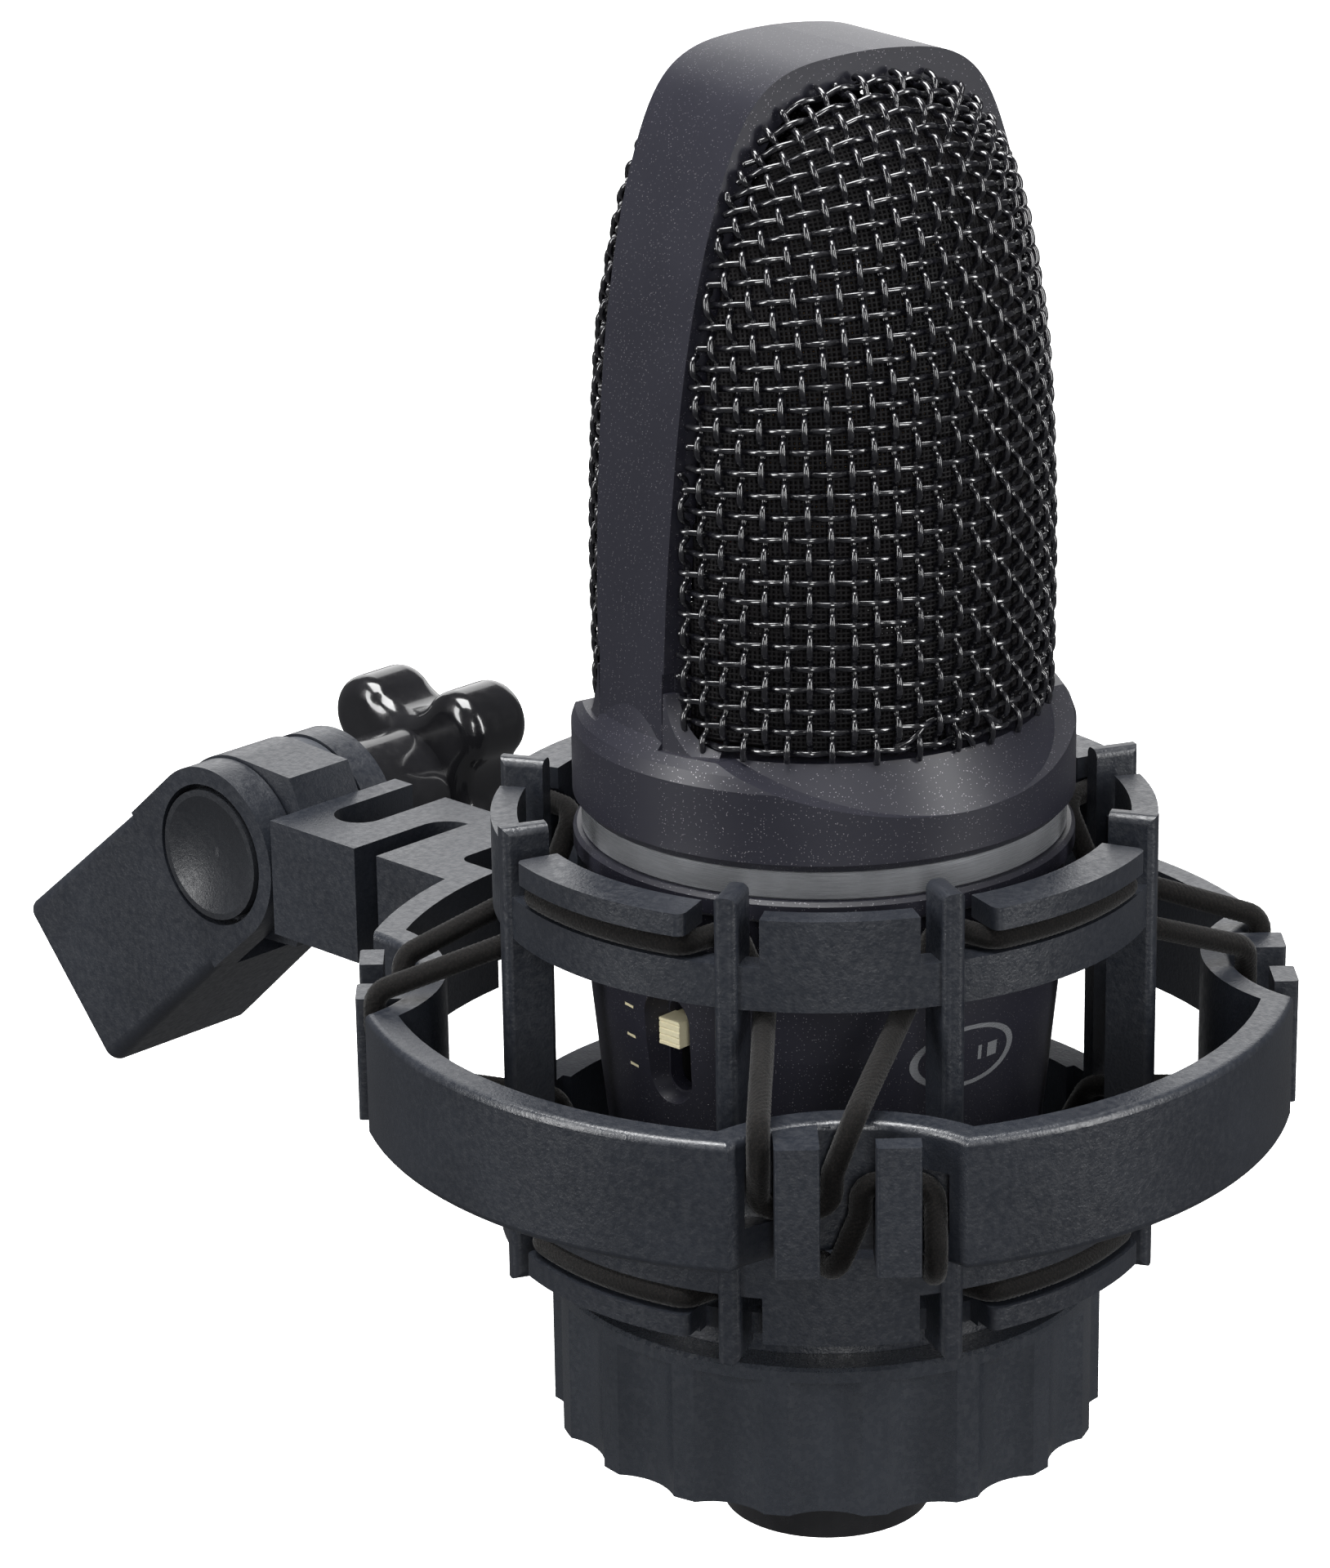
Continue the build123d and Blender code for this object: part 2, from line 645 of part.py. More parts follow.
def ring_section():
    """Four lobes joined by the arcs of the hook bays, with the pocket and bulge at the arm."""
    outer = Circle(RING_R)
    inner = Circle(RING_R - RING_WALL)
    for c in bay_circles(BAY_R):
        outer = outer - c
    for c in bay_circles(BAY_R + RING_WALL - 0.1):
        inner = inner - c
    block = Pos((ARM_X0 + ARM_X1) / 2, 53.0) * Rectangle(ARM_X1 - ARM_X0, 15.0)
    pocket = Pos(2.6, 48.0) * RectangleRounded(12.2, 9.6, 1.6)
    return outer + block - inner - pocket


def arm_section():
    """Meandering arm with two open slots."""
    body = Pos((ARM_X0 + ARM_X1) / 2, (56.0 + ARM_END) / 2) * Rectangle(ARM_X1 - ARM_X0, ARM_END - 56.0)
    slot_a = Pos(-3.5 + 3.15 + 10, 72.35) * Rectangle(20, 6.3) + Pos(-3.5 + 3.15, 72.35) * Circle(3.15)
    slot_b = Pos(5.5 - 3.8 - 10, 60.4) * Rectangle(20, 7.6) + Pos(5.5 - 3.8, 60.4) * Circle(3.8)
    return body - slot_a - slot_b


def hook(azimuth, offset, upper):
    """One hook block with its bridge to the bay wall."""
    t0 = offset - HOOK_W / 2
    t1 = offset + HOOK_W / 2
    block = box(HOOK_R0, HOOK_R1, t0, t1, RING_Z0, RING_Z1 - 0.2)
    block = fillet(block.edges().filter_by(Axis.Z).sort_by(Axis.X)[-2:], 0.4)
    if upper:
        bridge = box(42.2, HOOK_R0 + 1, t0, t1, HOOK_Z, RING_Z1 - 0.2)
    else:
        bridge = box(42.2, HOOK_R0 + 1, t0, t1, RING_Z0, RING_Z0 + RING_Z1 - HOOK_Z)
    return Rot(0, 0, azimuth) * (block + bridge)


def cord_seat(azimuth, sign, upper):
    """Relief in the bay wall for the cord that passes round one hook."""
    out = box(SEAT_R, HOOK_R0, 7.3, 10.1, 52.8, 59.2) + box(SEAT_R, HOOK_R0, 2.4, 7.4, 52.8, HOOK_Z)
    if not upper:
        out = mirrored(out, (RING_Z0 + RING_Z1) / 2)
    if sign < 0:
        out = mirror(out, Plane.XZ)
    return Rot(0, 0, azimuth) * out


def lug():
    """Rounded lug at the end of the arm."""
    low = 2 * PIVOT_Z
    pts = [(0, 76.0, RING_Z0), (0, 78.6, RING_Z0), (0, 80.3, low - 66.0), (0, PIVOT_Y, low - 66.5),
           (0, PIVOT_Y, 66.5), (0, 80.3, 66.0), (0, 78.6, RING_Z1), (0, 76.0, RING_Z1)]
    plate = Pos(LUG_X0, 0, 0) * extrude(make_face(Polyline(pts, close=True)), LUG_X1 - LUG_X0, dir=(1, 0, 0))
    boss = Pos(LUG_X0, PIVOT_Y, PIVOT_Z) * Rot(0, 90, 0) * rod(LUG_R, LUG_X1 - LUG_X0)
    return plate + boss


def outer_ring():
    """Outer ring with its hooks, meandering arm and swivel lug."""
    height = RING_Z1 - RING_Z0
    ring = Pos(0, 0, RING_Z0) * extrude(ring_section() + arm_section(), height)
    flats = ring.faces().sort_by(Axis.Z)
    rims = [flats[-1].outer_wire().edges(), flats[0].outer_wire().edges()]
    ring = fillet([e for e in rims[0] + rims[1] if e.length > 20], RING_EDGE)
    for azimuth, sign in BAYS:
        ring = ring - cord_seat(azimuth, sign, True) - cord_seat(azimuth, -sign, False)
        ring = ring + hook(azimuth, sign * HOOK_T, True)
        ring = ring + hook(azimuth, -sign * HOOK_T, False)
    ring = ring + lug()
    return ring - Pos(0, PIVOT_Y, PIVOT_Z) * Rot(0, 90, 0) * Cylinder(BOLT_R + 0.06, 60)


# =============================== swivel adapter ===============================

def adapter_place():
    """Location whose local +X runs along the adapter from the pivot to its mouth."""
    return Location((0, PIVOT_Y, PIVOT_Z), (0, 0, 90)) * Location((0, 0, 0), (0, -REST_TILT, 0))


def adapter():
    """Tapered block with a two-sided fork and a bore for the threaded insert."""
    mid = (FORK_X0 + FORK_X1) / 2
    near = Plane(origin=(9.0, -mid, 0), x_dir=(0, 1, 0), z_dir=(1, 0, 0)) * RectangleRounded(20.4, 21.4, 1.4)
    far = Plane(origin=(BLOCK_LEN, -mid, 0), x_dir=(0, 1, 0), z_dir=(1, 0, 0)) * RectangleRounded(22.4, 22.6, 1.8)
    block = loft([near, far])
    block = fillet(block.faces().sort_by(Axis.X)[-1].edges(), 0.7)
    cheeks = Pos(0, -mid, 0) * Rot(90, 0, 0) * Cylinder(FORK_R, FORK_X1 - FORK_X0)
    cheeks = cheeks + box(0, 18.4, -FORK_X1, -FORK_X0, -FORK_R, FORK_R)
    cheeks = cheeks & box(-20, 9.4, -40, 40, -20, 20)
    body = block + cheeks
    gap_x0 = LUG_X0 - 0.2
    gap_x1 = 7.4
    gap = Pos(0, -(gap_x0 + gap_x1) / 2, 0) * Rot(90, 0, 0) * Cylinder(LUG_R + 1.0, gap_x1 - gap_x0)
    gap = gap + box(-20, 0, -gap_x1, -gap_x0, -20, 20)
    swing = box(-20, 10.8, -gap_x1, -gap_x0, -20, -4.5)
    body = body - gap - swing
    body = body - Rot(90, 0, 0) * Cylinder(BOLT_R + 0.05, 80)
    dish = Pos(0, -FORK_X0 + 0.1, 0) * Rot(90, 0, 0) * rod(8.6, 2.6)
    body = body - dish
    bore = Pos(15.5, -mid, 0) * Rot(0, 90, 0) * rod(9.4, 40)
    body = body - bore
    return adapter_place() * body


def along_adapter(solid):
    mid = (FORK_X0 + FORK_X1) / 2
    return adapter_place() * Pos(0, -mid, 0) * Rot(0, 90, 0) * solid


def thread_insert():
    """Brass insert with the larger stand thread."""
    return along_adapter(ring_z(9.38, INSERT_R, 16.5, BLOCK_LEN) + ring_z(9.38, 0, 15.6, 16.5))


def thread_reducer():
    """Reducer with the smaller stand thread and a screwdriver slot."""
    reducer = ring_z(INSERT_R - 0.02, STAND_R, 17.0, BLOCK_LEN - 0.4)
    return along_adapter(reducer - box(-9, 9, -0.8, 0.8, BLOCK_LEN - 2.2, BLOCK_LEN + 1))


def pivot_bolt():
    """Swivel bolt from the dished cap through both cheeks into the knob."""
    shank = Pos(-6.9, PIVOT_Y, PIVOT_Z) * Rot(0, 90, 0) * rod(BOLT_R, 32.5)
    head = Pos(-7.0, PIVOT_Y, PIVOT_Z) * Rot(0, 90, 0) * rod(5.6, 0.7)
    return shank + head


def dish_cap():
    """Round dished cap over the bolt head."""
    disc = rod(7.9, 1.9)
    ball = Pos(0, 0, -16.4) * Sphere(17.9)
    cap = Pos(-8.95, PIVOT_Y, PIVOT_Z) * Rot(0, 90, 0) * (disc - ball)
    return cap


def friction_washer():
    """Toothed friction washer between lug and far cheek."""
    w = Pos(5.15, PIVOT_Y, PIVOT_Z) * Rot(0, 90, 0) * (rod(10.4, 2.1)
                                                      - Cylinder(BOLT_R + 0.02, 9))
    return w


def knob_outline():
    """Four lobes and four hollows, each arc tangent to the next."""
    tip_c = 11.2
    tip_r = 4.9
    dip_c = 15.3
    gap = sqrt(tip_c ** 2 + dip_c ** 2 - 2 * tip_c * dip_c * cos(radians(45)))
    dip_r = gap - tip_r
    edges = []
    for i in range(4):
        tip = Vector(*polar(tip_c, 40 + 90 * i, 0))
        before = Vector(*polar(dip_c, -5 + 90 * i, 0))
        after = Vector(*polar(dip_c, 85 + 90 * i, 0))
        following = Vector(*polar(tip_c, 130 + 90 * i, 0))
        start = tip + (before - tip) * (tip_r / gap)
        stop = tip + (after - tip) * (tip_r / gap)
        onward = following + (after - following) * (tip_r / gap)
        edges.append(ThreePointArc(start, Vector(*polar(tip_c + tip_r, 40 + 90 * i, 0)), stop))
        edges.append(ThreePointArc(stop, Vector(*polar(dip_c - dip_r, 85 + 90 * i, 0)), onward))
    return make_face(edges)


def knob():
    """Four-lobed clamping knob with a round stem."""
    head = extrude(knob_outline(), 10.0)
    head = fillet(head.edges().group_by(Axis.Z)[-1] + head.edges().group_by(Axis.Z)[0], 2.4)
    stem = Pos(0, 0, -11.0) * rod(7.8, 12.5)
    body = head + stem
    body = body - Pos(0, 0, -12) * rod(4.2, 16.6)
    return Pos(22.9, PIVOT_Y, PIVOT_Z) * Rot(0, 90, 0) * body


def knob_nut():
    """Brass bush moulded into the knob."""
    bush = rod(4.2, 15.6)
    bush = bush - Cylinder(BOLT_R + 0.05, 40)
    return Pos(11.9, PIVOT_Y, PIVOT_Z) * Rot(0, 90, 0) * bush


# =============================== export ===============================

def mic_place(solid):
    """The microphone stands a little turned in its clamp."""
    return Rot(0, 0, MIC_TURN) * solid


PARTS = {
    "mic_frame": mic_place(mic_frame()),
    "mesh_front": mic_place(mesh_shell(0, -1.4, -1)),
    "mesh_rear": mic_place(mesh_shell(0, -1.4, 1)),
    "mesh_front_fine": mic_place(mesh_rim(-1)),
    "mesh_rear_fine": mic_place(mesh_rim(1)),
    "head_deck": mic_place(head_deck()),
    "deck_screws": mic_place(deck_screws()),
    "capsule_saddle": mic_place(capsule_saddle()),
    "saddle_pad": mic_place(saddle_pad()),
    "capsule_plate": mic_place(capsule_plate()),
    "capsule_rings": mic_place(capsule_rings()),
    "capsule_screws": mic_place(capsule_screws()),
    "diaphragms": mic_place(diaphragms()),
    "capsule_leads": mic_place(capsule_leads()),
    "trim_ring": mic_place(trim_ring()),
    "inner_collar": mic_place(inner_collar()),
    "body_shell": mic_place(body_shell()),
    "pad_slider": mic_place(slider(-1)),
    "bass_slider": mic_place(slider(1)),
    "pad_switch": mic_place(switch_body(-1)),
    "bass_switch": mic_place(switch_body(1)),
    "chassis": mic_place(chassis()),
    "main_board": mic_place(main_board()),
    "board_parts": mic_place(board_parts()),
    "tail_tube": mic_place(tail_tube()),
    "tail_ring": mic_place(tail_ring()),
    "xlr_insert": mic_place(xlr_insert()),
    "xlr_pins": mic_place(xlr_pins()),
    "cage": cage(),
    "collet": collet(),
    "lock_nut": lock_nut(),
    "elastic_upper": elastic(True),
    "elastic_lower": elastic(False),
    "outer_ring": outer_ring(),
    "adapter": adapter(),
    "thread_insert": thread_insert(),
    "thread_reducer": thread_reducer(),
    "pivot_bolt": pivot_bolt(),
    "dish_cap": dish_cap(),
    "friction_washer": friction_washer(),
    "knob": knob(),
    "knob_nut": knob_nut(),
}

os.makedirs("parts", exist_ok=True)
for name, solid in PARTS.items():
    export_step(solid, f"parts/{name}.step")
    box_ = solid.bounding_box()
    print(f"{name:18s} solids {len(solid.solids())} volume {solid.volume:10.1f} "
          f"x {box_.min.X:7.1f} {box_.max.X:7.1f}"
          f" y {box_.min.Y:7.1f} {box_.max.Y:7.1f} z {box_.min.Z:7.1f} {box_.max.Z:7.1f}")
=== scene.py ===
import json
import math

import bpy
import numpy as np
from mathutils import Matrix, Vector
from mathutils.bvhtree import BVHTree


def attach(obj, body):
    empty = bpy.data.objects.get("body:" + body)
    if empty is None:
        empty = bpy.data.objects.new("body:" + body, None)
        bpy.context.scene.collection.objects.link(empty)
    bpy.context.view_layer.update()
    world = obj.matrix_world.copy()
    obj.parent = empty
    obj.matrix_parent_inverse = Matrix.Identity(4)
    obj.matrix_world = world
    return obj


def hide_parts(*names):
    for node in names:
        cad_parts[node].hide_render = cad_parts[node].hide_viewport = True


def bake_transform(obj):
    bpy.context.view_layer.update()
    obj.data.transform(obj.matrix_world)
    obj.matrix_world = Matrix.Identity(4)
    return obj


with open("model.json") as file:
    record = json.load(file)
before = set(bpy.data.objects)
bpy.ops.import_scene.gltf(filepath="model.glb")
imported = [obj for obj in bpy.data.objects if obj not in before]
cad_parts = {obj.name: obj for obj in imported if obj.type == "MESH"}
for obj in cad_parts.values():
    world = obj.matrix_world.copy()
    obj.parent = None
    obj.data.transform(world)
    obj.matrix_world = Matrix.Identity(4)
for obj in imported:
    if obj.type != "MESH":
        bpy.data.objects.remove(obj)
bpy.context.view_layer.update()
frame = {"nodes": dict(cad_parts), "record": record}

NODES = frame["nodes"]
MM = 0.001

MIC_TURN = math.radians(-12.6)      # the microphone's address side, from -Y
VIEW_TURN = -47.6                   # degrees round Z from the front to the camera

WINDOW_CENTRE_Z = 0.118     # rays that measure the mesh windows run towards here
WINDOW_LOW = -52            # degrees of elevation where the rays up a window start
WINDOW_RAYS = 561
WINDOW_RAY_STEP = 0.25      # degrees, up a window
LEVEL_RAYS = 240
LEVEL_RAY_STEP = 0.5        # degrees, round a window to each side
LEAN_SHARE = 0.8            # how far a level wire's rays lean with the window's slope
FIRST_ROW = 0.35            # distance of the first level row from the window's foot, in steps
SLOPE_REACH = 0.0008        # half the stretch that a window's slope is read over

WIRE_PITCH = 0.00224        # coarse woven layer
WIRE_STEPS = 8              # grid points from one wire to the next
WIRE_RADIUS = 0.00035
WIRE_LIFT_ACROSS = 0.00026  # how far the level wires rise and fall
WIRE_LIFT_UP = 0.00052      # how far the upright wires do
WIRE_SIDES = 8
WIRE_PROUD = 0.3            # how far out the upright wires sit, as a share of their lift
WIRE_SINK = 0.6             # how far in all wires sit, as a share of their radius
CRIMP_UP = 0.32             # below 1 flattens the crests of the upright wires
FINE_PITCH = 0.00050        # fine inner layer
FINE_RADIUS = 0.00021
FINE_SIDES = 4

BODY_RADIUS = 0.0235        # of the body skin near the badge, to turn widths into angles
MARK_LIFT = 0.00004         # of a printed mark off the skin
BADGE_ANGLE = 1.0           # degrees round from the address side
BADGE_Z = 0.0600
BADGE_HALF_WIDTH = 0.0064
BADGE_HALF_HEIGHT = 0.0034
BADGE_INNER = 0.86          # inner edge of the oval's line, as a share of its outer edge
BADGE_POINTS = 72
BADGE_BARS = ((-0.62, -0.42), (-0.30, 0.30), (0.42, 0.62))      # shares of the half width
BADGE_BAR_HALF = 0.0008
SWITCH_HEIGHT = 0.0602
SWITCH_ANGLE = 76.0         # degrees round from the address side, each way
TICK_PITCH = 0.0034
TICK_HALF = 0.00016
TICK_FROM, TICK_TO = 11.5, 15.0     # degrees beyond the switch

CAGE_MID = 57.35            # mirror plane of the cage, mm
RING_MID = 55.5             # mirror plane of the outer ring, mm
LOOP_RING_R = 34.5          # radius of a loop's level stretch on the cage, mm
LOOP_LEVEL_Z = 76.75        # height of that stretch on the upper loop, mm
LOOP_LOW_Z = 69.9           # height of the upper loop's bend on its way to the hooks, mm
LOOP_HALF = 15.5            # half the level stretch, in degrees
LOOP_LEAD = 1.5             # straight run off the level stretch, mm
CORD_RADIUS = 0.00106
CORD_SIDES = 36
CORD_STEP = 0.00019         # spacing of the points along a loop
BRAID_STRANDS = 9
BRAID_TURN = 0.0052         # length of cord in which a yarn goes round once
BRAID_LIFT = 0.00015


# ------------------------------------------------------------------ camera and light

def make_camera():
    data = bpy.data.cameras.new("camera")
    data.sensor_fit = "VERTICAL"
    data.sensor_height = 36.0
    data.sensor_width = 36.0
    data.lens = 117.3
    data.clip_start = 0.01
    data.clip_end = 50.0
    cam = bpy.data.objects.new("camera", data)
    bpy.context.scene.collection.objects.link(cam)
    yaw, pitch, roll = math.radians(-1.884), math.radians(19.156), math.radians(-0.857)
    fwd = Vector((math.sin(yaw) * math.cos(pitch), math.cos(yaw) * math.cos(pitch), -math.sin(pitch)))
    right = fwd.cross(Vector((0, 0, 1))).normalized()
    up = right.cross(fwd).normalized()
    rolled_right = math.cos(roll) * right + math.sin(roll) * up
    rolled_up = -math.sin(roll) * right + math.cos(roll) * up
    turn = Matrix.Rotation(math.radians(VIEW_TURN), 3, "Z")
    axes = Matrix((turn @ rolled_right, turn @ rolled_up, turn @ (-fwd)))
    m = axes.transposed().to_4x4()
    m.translation = Vector((-0.37605, -0.3434, 0.25986))
    cam.matrix_world = m
    bpy.context.scene.camera = cam


def area_light(name, where, target, size, power):
    data = bpy.data.lights.new(name, "AREA")
    data.shape = "RECTANGLE"
    data.size, data.size_y = size
    data.energy = power
    lamp = bpy.data.objects.new(name, data)
    bpy.context.scene.collection.objects.link(lamp)
    lamp.location = where
    lamp.rotation_mode = "QUATERNION"
    lamp.rotation_quaternion = (Vector(target) - Vector(where)).to_track_quat("-Z", "Y")
    lamp.visible_camera = False


def make_light():
    world = bpy.data.worlds.new("studio")
    world.use_nodes = True
    background = world.node_tree.nodes["Background"]
    background.inputs["Color"].default_value = (0.96, 0.97, 1.0, 1)
    background.inputs["Strength"].default_value = 0.11
    bpy.context.scene.world = world
    middle = (0, 0.02, 0.08)
    area_light("top", (-0.10, 0.10, 1.1), middle, (0.7, 0.7), 21.0)
    area_light("left", (-1.1, 0.45, 0.5), middle, (0.30, 1.1), 12.0)
    area_light("right", (0.30, -1.05, 0.45), middle, (0.22, 1.1), 10.0)
    area_light("front", (-0.80, -0.90, 0.40), middle, (0.25, 0.6), 6.0)
    area_light("back", (0.80, 0.75, 0.42), (0, 0, 0.12), (1.3, 0.7), 4.5)
    bpy.context.scene.view_settings.view_transform = "Standard"


def make_floor():
    """White floor and round backdrop that don't fill the object's shadows."""
    r, floor_z, top_z, count = 6.0, -0.075, 9.0, 48
    verts = []
    for z in (floor_z, top_z):
        for k in range(count):
            a = 2 * math.pi * k / count
            verts.append((r * math.cos(a), r * math.sin(a), z))
    faces = [(k, (k + 1) % count, count + (k + 1) % count, count + k) for k in range(count)]
    faces.append(tuple(range(count)))
    mesh = bpy.data.meshes.new("floor")
    mesh.from_pydata(verts, [], faces)
    floor = bpy.data.objects.new("floor", mesh)
    bpy.context.scene.collection.objects.link(floor)
    m, nt, sh = shader("floor_white", (0.80, 0.80, 0.80), 0.9)
    sh.inputs["Emission Color"].default_value = (1, 1, 1, 1)
    sh.inputs["Emission Strength"].default_value = 1.0
    mesh.materials.append(m)
    floor.visible_diffuse = False
    floor.visible_glossy = False
    floor.visible_shadow = False


# ------------------------------------------------------------------ materials

def shader(name, base, rough, metallic=0.0, spec=0.5, coat=0.0, coat_rough=0.1, sheen=0.0):
    """Principled material with its uniform values on the shader's own sockets."""
    m = bpy.data.materials.new(name)
    m.use_nodes = True
    nt = m.node_tree
    sh = nt.nodes["Principled BSDF"]
    sh.inputs["Base Color"].default_value = (*base, 1)
    sh.inputs["Roughness"].default_value = rough
    sh.inputs["Metallic"].default_value = metallic
    sh.inputs["Specular IOR Level"].default_value = spec
    sh.inputs["Coat Weight"].default_value = coat
    sh.inputs["Coat Roughness"].default_value = coat_rough
    sh.inputs["Sheen Weight"].default_value = sheen
    return m, nt, sh


def node(nt, kind, **values):
    n = nt.nodes.new(kind)
    for key, value in values.items():
        setattr(n, key, value)
    return n


def coords(nt, stretch=(1, 1, 1)):
    """Object coordinates, in metres, stretched along the axes."""
    tex = node(nt, "ShaderNodeTexCoord")
    mapping = node(nt, "ShaderNodeMapping")
    mapping.inputs["Scale"].default_value = stretch
    nt.links.new(tex.outputs["Object"], mapping.inputs["Vector"])
    return mapping.outputs["Vector"]


def noise(nt, size, detail=3.0, stretch=(1, 1, 1), rough=0.5):
    """Noise whose features are about size metres across."""
    n = node(nt, "ShaderNodeTexNoise")
    n.inputs["Scale"].default_value = 1.0 / size
    n.inputs["Detail"].default_value = detail
    n.inputs["Roughness"].default_value = rough
    nt.links.new(coords(nt, stretch), n.inputs["Vector"])
    return n.outputs["Fac"]


def ramp(nt, source, low, high, from_min=0.3, from_max=0.7):
    """Map a factor to the range low to high."""
    r = node(nt, "ShaderNodeMapRange")
    r.inputs["From Min"].default_value = from_min
    r.inputs["From Max"].default_value = from_max
    r.inputs["To Min"].default_value = low
    r.inputs["To Max"].default_value = high
    nt.links.new(source, r.inputs["Value"])
    return r.outputs["Result"]


def tint(nt, source, low, high):
    """Mix two colours by a factor."""
    m = node(nt, "ShaderNodeMix", data_type="RGBA")
    m.inputs["A"].default_value = (*low, 1)
    m.inputs["B"].default_value = (*high, 1)
    nt.links.new(source, m.inputs["Factor"])
    return m.outputs["Result"]


def bump(nt, sh, source, height, strength=1.0, previous=None):
    """Bump of a height in metres on the shader's normal."""
    b = node(nt, "ShaderNodeBump")
    b.inputs["Strength"].default_value = strength
    b.inputs["Distance"].default_value = height
    nt.links.new(source, b.inputs["Height"])
    if previous is not None:
        nt.links.new(previous, b.inputs["Normal"])
    nt.links.new(b.outputs["Normal"], sh.inputs["Normal"])
    return b.outputs["Normal"]


def grained_plastic(name, dark, light, rough=0.5, grain=0.00032, depth=0.00005, spec=0.5):
    """Moulded plastic: fine spark-eroded grain, slow colour drift and scuffed highlights."""
    m, nt, sh = shader(name, dark, rough, spec=spec)
    slow = noise(nt, 0.012, 2.0)
    fine = noise(nt, grain, 2.0)
    cloud = node(nt, "ShaderNodeMath", operation="MULTIPLY_ADD")
    cloud.inputs[1].default_value = 0.45
    nt.links.new(fine, cloud.inputs[0])
    nt.links.new(slow, cloud.inputs[2])
    drift = ramp(nt, cloud.outputs["Value"], 0.0, 1.0, 0.45, 1.0)
    nt.links.new(tint(nt, drift, dark, light), sh.inputs["Base Color"])
    nt.links.new(ramp(nt, noise(nt, grain * 2.2, 3.0), rough - 0.08, rough + 0.10), sh.inputs["Roughness"])
    first = bump(nt, sh, fine, depth, 0.8)
    bump(nt, sh, noise(nt, grain * 6.0, 1.0), depth * 1.2, 0.35, first)
    return m


def metal(name, colour, rough, brush=(1, 1, 1), size=0.0004, depth=0.000006, metallic=1.0):
    """Machined or plated metal with fine directional tool marks and faint staining."""
    m, nt, sh = shader(name, colour, rough, metallic=metallic)
    marks = noise(nt, size, 4.0, brush)
    stain = noise(nt, 0.006, 3.0)
    stain_and_painted_shade = tuple(c * 0.72 for c in colour)
    nt.links.new(tint(nt, ramp(nt, stain, 0.0, 1.0), colour, stain_and_painted_shade), sh.inputs["Base Color"])
    nt.links.new(ramp(nt, marks, rough - 0.08, rough + 0.12), sh.inputs["Roughness"])
    bump(nt, sh, marks, depth, 0.7)
    return m


def flake_paint(name):
    """Dark satin lacquer over a sprinkle of bright metal flakes."""
    m, nt, sh = shader(name, (0.010, 0.010, 0.017), 0.46, spec=0.45, coat=0.25, coat_rough=0.34)
    cells = node(nt, "ShaderNodeTexVoronoi")
    cells.inputs["Scale"].default_value = 1.0 / 0.00015
    nt.links.new(coords(nt), cells.inputs["Vector"])
    split = node(nt, "ShaderNodeSeparateColor")
    nt.links.new(cells.outputs["Color"], split.inputs["Color"])
    chosen = node(nt, "ShaderNodeMath", operation="GREATER_THAN")
    chosen.inputs[1].default_value = 0.90
    nt.links.new(split.outputs["Red"], chosen.inputs[0])
    core = node(nt, "ShaderNodeMath", operation="LESS_THAN")
    core.inputs[1].default_value = 0.34
    nt.links.new(cells.outputs["Distance"], core.inputs[0])
    flake = node(nt, "ShaderNodeMath", operation="MULTIPLY")
    nt.links.new(chosen.outputs["Value"], flake.inputs[0])
    nt.links.new(core.outputs["Value"], flake.inputs[1])
    lacquer = tint(nt, ramp(nt, noise(nt, 0.01, 2.0), 0, 1), (0.009, 0.009, 0.016), (0.013, 0.013, 0.021))
    mix = node(nt, "ShaderNodeMix", data_type="RGBA")
    mix.inputs["B"].default_value = (0.30, 0.29, 0.31, 1)
    nt.links.new(flake.outputs["Value"], mix.inputs["Factor"])
    nt.links.new(lacquer, mix.inputs["A"])
    nt.links.new(mix.outputs["Result"], sh.inputs["Base Color"])
    nt.links.new(flake.outputs["Value"], sh.inputs["Metallic"])
    tilt = node(nt, "ShaderNodeMath", operation="MULTIPLY")
    nt.links.new(flake.outputs["Value"], tilt.inputs[0])
    nt.links.new(split.outputs["Green"], tilt.inputs[1])
    first = bump(nt, sh, tilt.outputs["Value"], 0.00004, 0.9)
    bump(nt, sh, noise(nt, 0.0005, 2.0), 0.000008, 0.6, first)
    return m


def gloss(name, base, rough, ripple=0.0025, depth=0.00003):
    """Glossy moulded or lacquered surface with slight orange peel."""
    m, nt, sh = shader(name, base, rough, spec=0.5, coat=0.5, coat_rough=0.06)
    light = tuple(c * 1.7 + 0.002 for c in base)
    nt.links.new(tint(nt, ramp(nt, noise(nt, 0.008, 2.0), 0, 1), base, light), sh.inputs["Base Color"])
    nt.links.new(ramp(nt, noise(nt, 0.0012, 4.0), rough - 0.05, rough + 0.09), sh.inputs["Roughness"])
    bump(nt, sh, noise(nt, ripple, 2.0), depth, 0.4)
    return m


def wire_lacquer(name):
    """Black lacquered wire, glossy, with thin spots."""
    m, nt, sh = shader(name, (0.006, 0.006, 0.008), 0.20, spec=0.7, coat=0.8, coat_rough=0.09)
    thin = ramp(nt, noise(nt, 0.0006, 3.0), 0, 1, 0.5, 0.8)
    nt.links.new(tint(nt, thin, (0.005, 0.005, 0.007), (0.018, 0.018, 0.022)), sh.inputs["Base Color"])
    nt.links.new(ramp(nt, noise(nt, 0.0006, 2.0), 0.14, 0.26), sh.inputs["Roughness"])
    bump(nt, sh, noise(nt, 0.0005, 2.0), 0.000006, 0.4)
    return m


